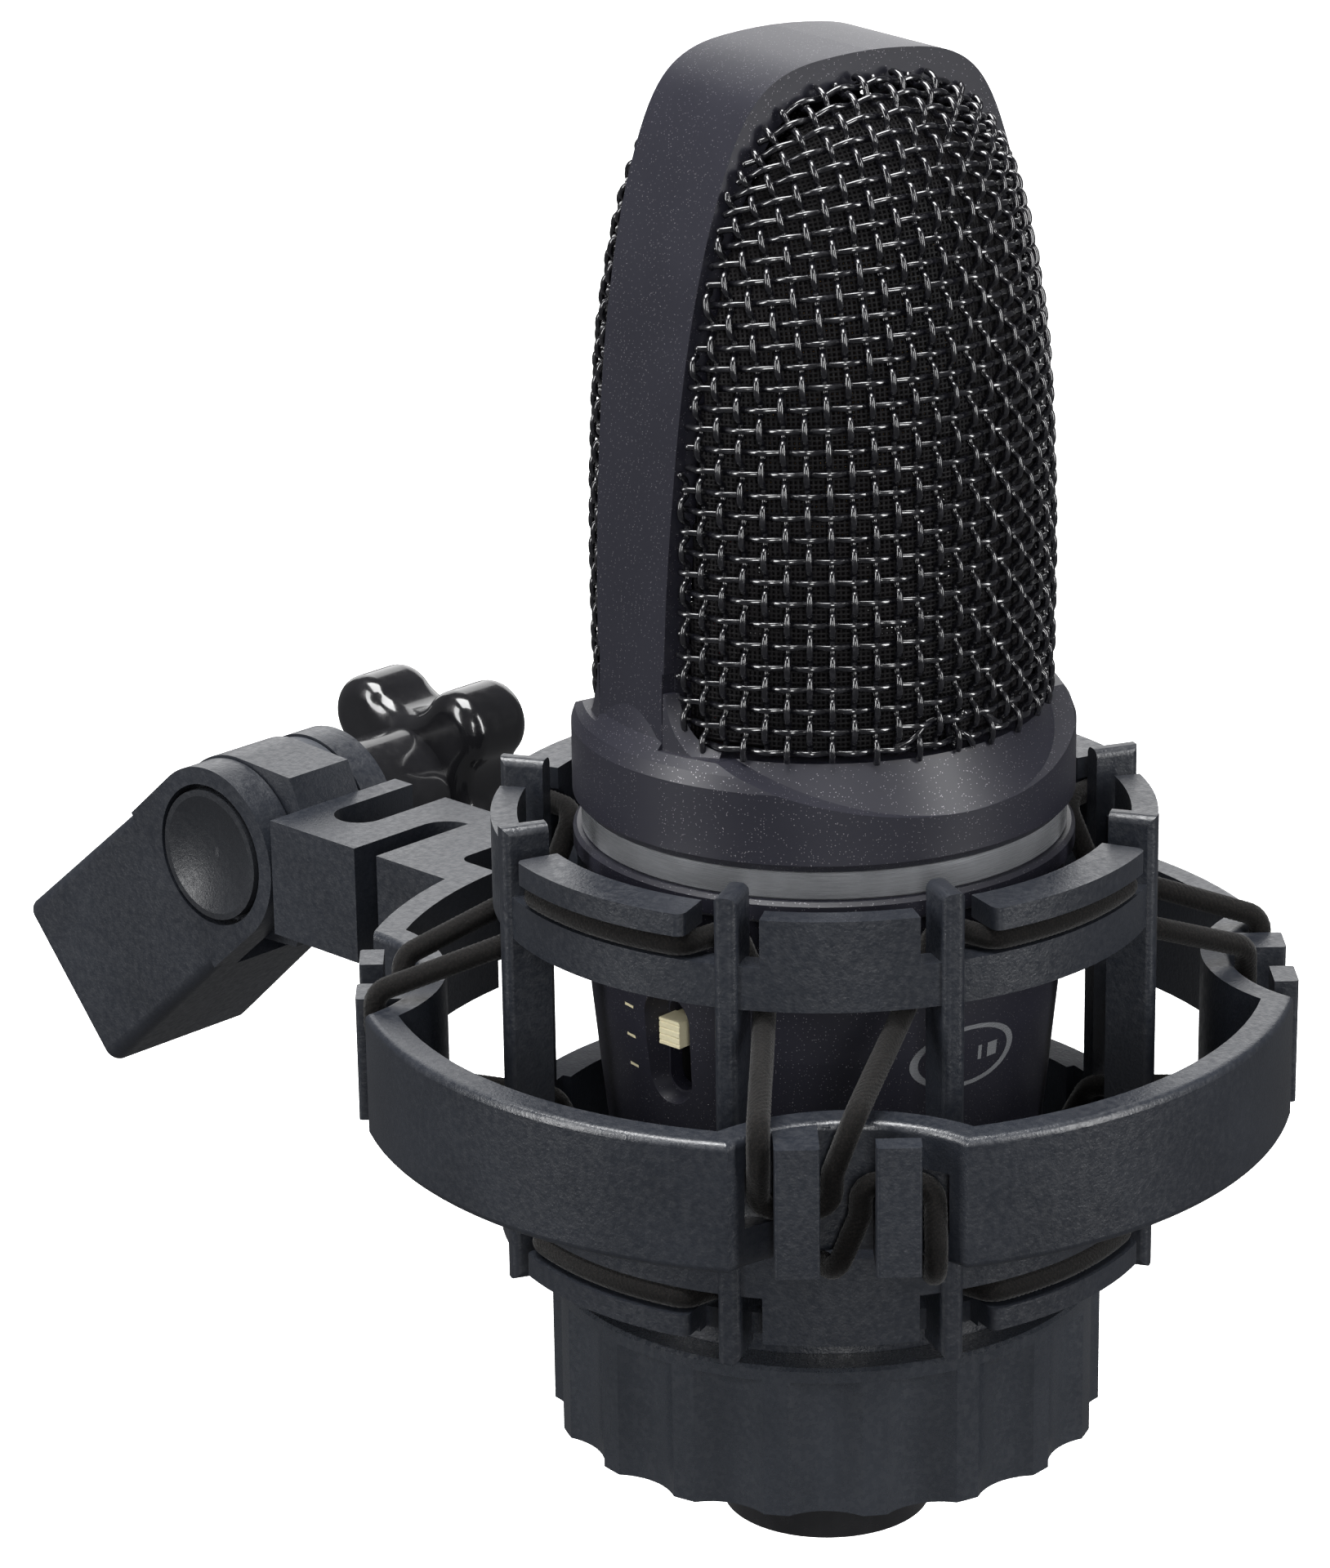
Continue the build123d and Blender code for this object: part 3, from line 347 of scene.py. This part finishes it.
def braid(name):
    """Textile braid: single yarns, with painted shade darkening the hollows between them and dark
    dust-brown on their crowns.
    """
    m, nt, sh = shader(name, (0.010, 0.008, 0.007), 0.85, spec=0.15, sheen=0.12)
    yarn = noise(nt, 0.00022, 3.0, (1, 1, 1), 0.65)
    # Painted shade: the colour follows the yarn bumps, darkest in the hollows between yarns and lighter on
    # their crowns.
    stain_and_painted_shade = ramp(nt, yarn, 0, 1, 0.46, 0.72)
    nt.links.new(tint(nt, stain_and_painted_shade, (0.0018, 0.0016, 0.0015), (0.011, 0.009, 0.008)), sh.inputs["Base Color"])
    bump(nt, sh, yarn, 0.00008, 1.0)
    return m


def laminate(name):
    """Circuit board laminate with lighter traces."""
    m, nt, sh = shader(name, (0.01, 0.09, 0.035), 0.35, coat=0.4)
    bands = node(nt, "ShaderNodeTexBrick")
    bands.inputs["Scale"].default_value = 260.0
    bands.inputs["Color1"].default_value = (0.010, 0.085, 0.032, 1)
    bands.inputs["Color2"].default_value = (0.012, 0.10, 0.040, 1)
    bands.inputs["Mortar"].default_value = (0.03, 0.19, 0.075, 1)
    nt.links.new(coords(nt), bands.inputs["Vector"])
    nt.links.new(bands.outputs["Color"], sh.inputs["Base Color"])
    bump(nt, sh, noise(nt, 0.0004, 2.0), 0.00002, 0.5)
    return m


def make_materials():
    slate = ((0.010, 0.012, 0.017), (0.018, 0.021, 0.028))
    return {
        "mic_paint": flake_paint("mic_paint"),
        "mount_plastic": grained_plastic("mount_plastic", *slate, rough=0.36, spec=0.85),
        "nut_plastic": grained_plastic("nut_plastic", (0.018, 0.021, 0.027), (0.030, 0.034, 0.042),
                                       rough=0.26, depth=0.000015, spec=0.95),
        "collet_plastic": grained_plastic("collet_plastic", (0.012, 0.012, 0.013), (0.02, 0.02, 0.022)),
        "cap_plastic": grained_plastic("cap_plastic", (0.012, 0.013, 0.016), (0.020, 0.022, 0.026),
                                       rough=0.40),
        "washer_plastic": grained_plastic("washer_plastic", (0.032, 0.036, 0.045), (0.05, 0.055, 0.066)),
        "saddle_plastic": grained_plastic("saddle_plastic", (0.012, 0.012, 0.012), (0.02, 0.02, 0.02)),
        "switch_case": grained_plastic("switch_case", (0.012, 0.012, 0.012), (0.02, 0.02, 0.02)),
        "insert_plastic": grained_plastic("insert_plastic", (0.01, 0.01, 0.01), (0.018, 0.018, 0.018)),
        "slider_plastic": grained_plastic("slider_plastic", (0.62, 0.56, 0.36), (0.72, 0.67, 0.47),
                                          rough=0.42),
        "pad_rubber": grained_plastic("pad_rubber", (0.012, 0.012, 0.012), (0.02, 0.02, 0.02), rough=0.7),
        "knob_plastic": gloss("knob_plastic", (0.006, 0.006, 0.007), 0.17),
        "component_case": gloss("component_case", (0.05, 0.035, 0.03), 0.3),
        "lead_sleeve": gloss("lead_sleeve", (0.35, 0.03, 0.02), 0.35),
        "mesh_steel": wire_lacquer("mesh_steel"),
        "mesh_fine": grained_plastic("mesh_fine", (0.004, 0.004, 0.0048), (0.009, 0.008, 0.009),
                                     rough=0.55, spec=0.18),
        "elastic_braid": braid("elastic_braid"),
        "board_laminate": laminate("board_laminate"),
        "trim_metal": metal("trim_metal", (0.34, 0.35, 0.37), 0.24, (1, 1, 60), 0.004, 0.000002, 0.55),
        "tail_metal": gloss("tail_metal", (0.010, 0.010, 0.011), 0.22),
        "inner_alloy": metal("inner_alloy", (0.16, 0.16, 0.165), 0.42, (1, 1, 6)),
        "screw_steel": metal("screw_steel", (0.52, 0.52, 0.53), 0.26),
        "capsule_brass": metal("capsule_brass", (0.40, 0.26, 0.11), 0.38),
        "gold_film": metal("gold_film", (0.50, 0.32, 0.13), 0.35, depth=0.000002),
        "pin_metal": metal("pin_metal", (0.78, 0.74, 0.64), 0.18),
        "insert_brass": metal("insert_brass", (0.64, 0.47, 0.22), 0.32),
        "reducer_steel": metal("reducer_steel", (0.46, 0.46, 0.47), 0.30),
        "bolt_steel": metal("bolt_steel", (0.42, 0.42, 0.43), 0.30),
    }


def dress_cad(materials):
    """Give each carried-over CAD node the material of its slot."""
    slots = {s["node"]: s["material_slot"] for s in frame["record"]["subparts"]}
    for name, obj in NODES.items():
        m = materials[slots[name]]
        if obj.material_slots:
            for s in obj.material_slots:
                s.material = m
        else:
            obj.data.materials.append(m)


# ------------------------------------------------------------------ mesh pieces

def new_piece(name, verts, faces, material, smooth=True):
    """Mesh object with its material."""
    mesh = bpy.data.meshes.new(name)
    mesh.from_pydata([tuple(v) for v in verts], [], faces)
    mesh.materials.append(material)
    mesh.polygons.foreach_set("use_smooth", [smooth] * len(mesh.polygons))
    mesh.update()
    obj = bpy.data.objects.new(name, mesh)
    bpy.context.scene.collection.objects.link(obj)
    return obj


def frames(points, closed=False):
    """Tangent, normal and binormal along a polyline, turned as little as possible."""
    p = np.asarray(points, float)
    if closed:
        t = np.roll(p, -1, 0) - np.roll(p, 1, 0)
    else:
        t = np.gradient(p, axis=0)
    t /= np.linalg.norm(t, axis=1)[:, None]
    n = np.zeros_like(p)
    start = np.cross(t[0], (0.3, 0.5, 0.81))
    n[0] = start / np.linalg.norm(start)
    for i in range(1, len(p)):
        v = n[i - 1] - t[i] * np.dot(n[i - 1], t[i])
        n[i] = v / np.linalg.norm(v)
    if closed:
        v = n[-1] - t[0] * np.dot(n[-1], t[0])
        v /= np.linalg.norm(v)
        twist = math.atan2(np.dot(np.cross(v, n[0]), t[0]), np.dot(v, n[0]))
        a = np.linspace(0, twist, len(p), endpoint=False)[:, None]
        b = np.cross(t, n)
        n = n * np.cos(a) + b * np.sin(a)
    return t, n, np.cross(t, n)


def tube(points, radius, sides, closed=False, height=None):
    """Vertices and faces of a tube; height(s, angle) lifts its skin."""
    p = np.asarray(points, float)
    t, n, b = frames(p, closed)
    ang = np.linspace(0, 2 * math.pi, sides, endpoint=False)
    r = np.full((len(p), sides), radius)
    if height is not None:
        step = np.linalg.norm(np.diff(p, axis=0), axis=1)
        s = np.concatenate([[0], np.cumsum(step)])
        r = r + height(s[:, None], ang[None, :])
    cos, sin = np.cos(ang)[None, :, None], np.sin(ang)[None, :, None]
    v = p[:, None, :] + r[..., None] * (n[:, None, :] * cos + b[:, None, :] * sin)
    v = v.reshape(-1, 3)
    faces = []
    rows = len(p) if closed else len(p) - 1
    for i in range(rows):
        k = (i + 1) % len(p)
        for j in range(sides):
            m = (j + 1) % sides
            faces.append((i * sides + j, i * sides + m, k * sides + m, k * sides + j))
    if not closed:
        faces.append(tuple(range(sides))[::-1])
        faces.append(tuple((len(p) - 1) * sides + j for j in range(sides)))
    return v, faces


def bvh(name):
    """Ray-casting tree of a CAD node."""
    mesh = NODES[name].data
    corners = [v.co.copy() for v in mesh.vertices]
    return BVHTree.FromPolygons(corners, [tuple(f.vertices) for f in mesh.polygons])


def mic_point(x, y, z):
    """Point given in the microphone's own turned frame."""
    c, s = math.cos(MIC_TURN), math.sin(MIC_TURN)
    return Vector((c * x - s * y, s * x + c * y, z))


def shell_hit(tree, origin, direction, reach=0.1):
    """Outer surface of a shell, met from outside on the way to the origin."""
    return tree.ray_cast(origin + direction * reach, -direction, reach)[0]


def window_grid(node_name, side, step):
    """Points of a draped net on a mesh window: grid[row][column], with NaN off the window."""
    tree = bvh(node_name)
    centre = mic_point(0, 0, WINDOW_CENTRE_Z)
    meridian = []
    for k in range(WINDOW_RAYS):
        e = math.radians(WINDOW_LOW + k * WINDOW_RAY_STEP)
        d = mic_point(0, side * math.cos(e), math.sin(e))
        hit = shell_hit(tree, centre, d)
        if hit is not None:
            meridian.append(hit)
    pts = np.array([tuple(p) for p in meridian])
    s = np.concatenate([[0], np.cumsum(np.linalg.norm(np.diff(pts, axis=0), axis=1))])
    count = int(s[-1] / step)
    along = FIRST_ROW * step + np.arange(count) * step
    along = along[along < s[-1]]
    rows = []
    axis_x = mic_point(1, 0, 0)
    for a in along:
        p = np.array([np.interp(a, s, pts[:, i]) for i in range(3)])
        q = np.array([np.interp(min(a + SLOPE_REACH, s[-1]), s, pts[:, i]) for i in range(3)])
        o = np.array([np.interp(max(a - SLOPE_REACH, 0), s, pts[:, i]) for i in range(3)])
        run = q - o
        lean = math.atan2(math.hypot(run[0], run[1]), run[2]) * LEAN_SHARE
        out = mic_point(0, side * math.cos(lean), math.sin(lean))
        rho = math.hypot(p[0], p[1])
        hub = Vector((0, 0, p[2] - rho * math.tan(lean)))
        pair = []
        for sign in (1, -1):
            arc = [Vector(p)]
            for k in range(1, LEVEL_RAYS):
                f = math.radians(LEVEL_RAY_STEP * k) * sign
                d = axis_x * math.sin(f) + out * math.cos(f)
                hit = shell_hit(tree, hub, d)
                if hit is None:
                    break
                arc.append(hit)
            c = np.array([tuple(v) for v in arc])
            length = np.concatenate([[0], np.cumsum(np.linalg.norm(np.diff(c, axis=0), axis=1))])
            n = int(length[-1] / step)
            pair.append([np.array([np.interp(j * step, length, c[:, i]) for i in range(3)])
                         for j in range(n + 1)])
        rows.append((pair[1][:0:-1], pair[0]))
    width = max(max(len(a), len(b)) for a, b in rows) + 1
    grid = np.full((len(rows), 2 * width + 1, 3), np.nan)
    for i, (left, right) in enumerate(rows):
        for j, v in enumerate(right):
            grid[i, width + j] = v
        for j, v in enumerate(left[::-1]):
            grid[i, width - 1 - j] = v
    return grid, width


def grid_normals(grid):
    """Outward normals from neighbouring grid points."""
    du = np.full_like(grid, np.nan)
    dv = np.full_like(grid, np.nan)
    du[:, 1:-1] = grid[:, 2:] - grid[:, :-2]
    dv[1:-1] = grid[2:] - grid[:-2]
    n = np.cross(du, dv)
    size = np.linalg.norm(n, axis=2)
    with np.errstate(invalid="ignore", divide="ignore"):
        n = n / size[..., None]
    radial = grid.copy()
    radial[..., 2] -= WINDOW_CENTRE_Z
    with np.errstate(invalid="ignore"):
        radial = radial / np.linalg.norm(radial, axis=2)[..., None]
        n = np.where(np.isnan(n), radial, n)
        flip = (n * radial).sum(2) < 0
    n[flip] *= -1
    return n


def runs(mask):
    """Index ranges where the mask holds."""
    out, start = [], None
    for i, v in enumerate(list(mask) + [False]):
        if v and start is None:
            start = i
        elif not v and start is not None:
            out.append((start, i))
            start = None
    return out


def weave(node_name, side, pitch, fine, radius, lift_across, lift_up, sides):
    """Wires of a woven window, as one list of vertices and faces; fine is the grid steps to a pitch."""
    step = pitch / fine
    grid, middle = window_grid(node_name, side, step)
    normal = grid_normals(grid)
    ok = ~np.isnan(grid[..., 0])
    verts, faces = [], []

    def add(points):
        v, f = tube(points, radius, sides)
        base = sum(len(a) for a in verts)
        verts.append(v)
        faces.extend(tuple(base + i for i in face) for face in f)

    def crimp(x, sharp):
        c = math.cos(math.pi * x / fine)
        return math.copysign(abs(c) ** sharp, c)

    rows, columns = grid.shape[:2]
    sink = radius * WIRE_SINK
    for i in range(0, rows, fine):
        parity = 1 if (i // fine) % 2 == 0 else -1
        for a, b in runs(ok[i]):
            if b - a < fine:
                continue
            add([grid[i, j] + normal[i, j] * (lift_across * parity * crimp(j - middle, 1.0) - sink)
                 for j in range(a, b)])
    for j in range(middle % fine, columns, fine):
        parity = -1 if ((j - middle) // fine) % 2 == 0 else 1
        for a, b in runs(ok[:, j]):
            if b - a < fine:
                continue
            add([grid[i, j] + normal[i, j] * (lift_up * (parity * crimp(i, CRIMP_UP) + WIRE_PROUD) - sink)
                 for i in range(a, b)])
    return np.concatenate(verts), faces


def make_windows(materials):
    """Coarse and fine woven layers in place of the four CAD mesh shells."""
    for name, side in (("mesh_front", -1), ("mesh_rear", 1)):
        v, f = weave(name, side, WIRE_PITCH, WIRE_STEPS, WIRE_RADIUS,
                     WIRE_LIFT_ACROSS, WIRE_LIFT_UP, WIRE_SIDES)
        piece = new_piece(name + "_weave", v, f, materials["mesh_steel"])
        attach(piece, "microphone")
        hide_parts(name)
        v, f = weave(name + "_fine", side, FINE_PITCH, 1, FINE_RADIUS, 0.0, 0.0, FINE_SIDES)
        piece = new_piece(name + "_fine_weave", v, f, materials["mesh_fine"])
        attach(piece, "microphone")
        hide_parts(name + "_fine")


# ------------------------------------------------------------------ marks on the body

def body_mark(tree, angle, z):
    """Point just off the body skin, a given angle round from the address side."""
    a = math.radians(angle - 90)
    out = mic_point(math.cos(a), math.sin(a), 0)
    return shell_hit(tree, Vector((0, 0, z)), out, 0.04) + out * MARK_LIFT


def make_marks(materials):
    """Plain oval badge on the address side and three ticks beside each switch."""
    tree = bvh("body_shell")
    count = BADGE_POINTS
    verts = []
    for scale in (1.0, BADGE_INNER):
        for k in range(count):
            t = 2 * math.pi * k / count
            angle = BADGE_ANGLE + math.degrees(BADGE_HALF_WIDTH * scale * math.cos(t) / BODY_RADIUS)
            verts.append(body_mark(tree, angle, BADGE_Z + BADGE_HALF_HEIGHT * scale * math.sin(t)))
    faces = [(k, (k + 1) % count, count + (k + 1) % count, count + k) for k in range(count)]
    for low, high in BADGE_BARS:
        base = len(verts)
        for t in (low, high):
            angle = BADGE_ANGLE + math.degrees(BADGE_HALF_WIDTH * t / BODY_RADIUS)
            verts += [body_mark(tree, angle, BADGE_Z + up) for up in (-BADGE_BAR_HALF, BADGE_BAR_HALF)]
        faces.append((base, base + 2, base + 3, base + 1))
    badge = new_piece("badge", verts, faces, materials["trim_metal"], smooth=False)
    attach(badge, "microphone")
    verts, faces = [], []
    for side in (-1, 1):
        for step in (-1, 0, 1):
            z = SWITCH_HEIGHT + step * TICK_PITCH
            base = len(verts)
            for turn in (TICK_FROM, TICK_TO):
                angle = side * (SWITCH_ANGLE + turn)
                verts += [body_mark(tree, angle, z + up) for up in (-TICK_HALF, TICK_HALF)]
            face = (base, base + 2, base + 3, base + 1)
            faces.append(face if side > 0 else face[::-1])
    ticks = new_piece("switch_ticks", verts, faces, materials["slider_plastic"],
                      smooth=False)
    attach(ticks, "microphone")


# ------------------------------------------------------------------ elastic loops

def rounded(points, bend):
    """Straight runs joined by tangent arcs, as a dense list of points."""
    pts = [np.array(p, float) for p in points]
    out = [pts[0]]
    for i in range(1, len(pts) - 1):
        into = pts[i] - pts[i - 1]
        away = pts[i + 1] - pts[i]
        into /= np.linalg.norm(into)
        away /= np.linalg.norm(away)
        turn = math.acos(max(-1.0, min(1.0, float(np.dot(into, away)))))
        set_back = bend[i] * math.tan(turn / 2)
        if turn < 1e-3 or bend[i] == 0:
            out.append(pts[i])
            continue
        inward = away - into
        inward /= np.linalg.norm(inward)
        centre = pts[i] + inward * bend[i] / math.cos(turn / 2)
        start = pts[i] - into * set_back - centre
        for k in range(13):
            a = turn * k / 12
            out.append(centre + start * math.cos(a) + into * bend[i] * math.sin(a))
    out.append(pts[-1])
    return out


def bay(side, t, r, z):
    """Point in a hook bay of the outer ring, mm."""
    a = math.radians(-135)
    return (r * math.cos(a) - side * t * math.sin(a), r * math.sin(a) + side * t * math.cos(a), z)


def on_ring(r, azimuth, z):
    a = math.radians(azimuth)
    return np.array((r * math.cos(a), r * math.sin(a), z))


def along_ring(azimuth, side):
    """Unit step along the ring at an azimuth, in the sense of the side."""
    a = math.radians(azimuth)
    return np.array((-math.sin(a), math.cos(a), 0)) * side


def loop_path(upper):
    """Closed centre line of an elastic loop, the same route as its CAD solid, mm."""
    side = 1 if upper else -1
    cage_z = (lambda z: z) if upper else (lambda z: 2 * CAGE_MID - z)
    hook_z = (lambda z: z) if upper else (lambda z: 2 * RING_MID - z)
    level = cage_z(LOOP_LEVEL_Z)
    low = cage_z(LOOP_LOW_Z)
    near, far, half = -135 - side * 45, -135 + side * 45, LOOP_HALF
    arc0 = [on_ring(LOOP_RING_R, near + side * half * k / 12, level) for k in range(13)]
    arc1 = [on_ring(LOOP_RING_R, far - side * half * (1 - k / 12), level) for k in range(13)]
    t0 = along_ring(near + side * half, side)
    t1 = along_ring(far - side * half, side)
    pts = [arc0[-1], arc0[-1] + t0 * LOOP_LEAD,
           bay(side, -10.3, 26.4, level), bay(side, -7.3, 29.2, low),
           bay(side, -8.75, 47.7, hook_z(63.6)), bay(side, -8.75, 47.7, hook_z(59.6)),
           bay(side, -8.75, 45.45, hook_z(54.3)),
           bay(side, -1.5, 45.4, hook_z(54.25)), bay(side, -1.35, 45.3, hook_z(57.8)),
           bay(side, 1.0, 44.9, hook_z(63.9)),
           bay(side, 7.3, 29.2, low), bay(side, 10.3, 26.4, level),
           arc1[0] - t1 * LOOP_LEAD, arc1[0]]
    bend = [0, 1.8, 2.0, 2.2, 2.2, 2.6, 2.0, 1.8, 2.6, 2.2, 2.2, 2.0, 1.8, 0]
    quarter = np.array(arc0[:-1] + rounded(pts, bend) + arc1[1:])
    flip_a = np.array((-1, 1, 1)) if upper else np.array((1, -1, 1))
    both = np.concatenate([quarter, (quarter * flip_a)[::-1][1:]])
    return np.concatenate([both, (both * np.array((-1, -1, 1)))[1:-1]])


def resample(points, step):
    """Closed line as evenly spaced points, and its length."""
    p = np.asarray(points, float)
    p = np.concatenate([p, p[:1]])
    s = np.concatenate([[0], np.cumsum(np.linalg.norm(np.diff(p, axis=0), axis=1))])
    keep = np.concatenate([[True], np.diff(s) > 1e-9])
    p, s = p[keep], s[keep]
    count = max(int(round(s[-1] / step)), 4)
    at = np.linspace(0, s[-1], count, endpoint=False)
    return np.stack([np.interp(at, s, p[:, i]) for i in range(3)], 1), s[-1]


def make_elastics(materials):
    """Braided skins in place of the two CAD loops."""
    for upper in (True, False):
        path, length = resample(loop_path(upper) * MM, CORD_STEP)
        turns = round(length / BRAID_TURN)

        def skin(s, ang, length=length, turns=turns):
            a = BRAID_STRANDS * (ang / (2 * math.pi) + s / length * turns)
            b = BRAID_STRANDS * (ang / (2 * math.pi) - s / length * turns)
            over = (np.floor(a) + np.floor(b)) % 2
            fa = np.abs(np.sin(math.pi * a))
            fb = np.abs(np.sin(math.pi * b))
            return np.where(over > 0, fa ** 0.6, fb ** 0.6) * BRAID_LIFT

        v, f = tube(path, CORD_RADIUS, CORD_SIDES, True, skin)
        name = "elastic_upper" if upper else "elastic_lower"
        piece = new_piece(name + "_braid", v, f, materials["elastic_braid"])
        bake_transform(piece)
        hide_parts(name)


# ------------------------------------------------------------------ scene

make_camera()
MATERIALS = make_materials()
dress_cad(MATERIALS)
make_windows(MATERIALS)
make_marks(MATERIALS)
make_elastics(MATERIALS)
make_light()
make_floor()
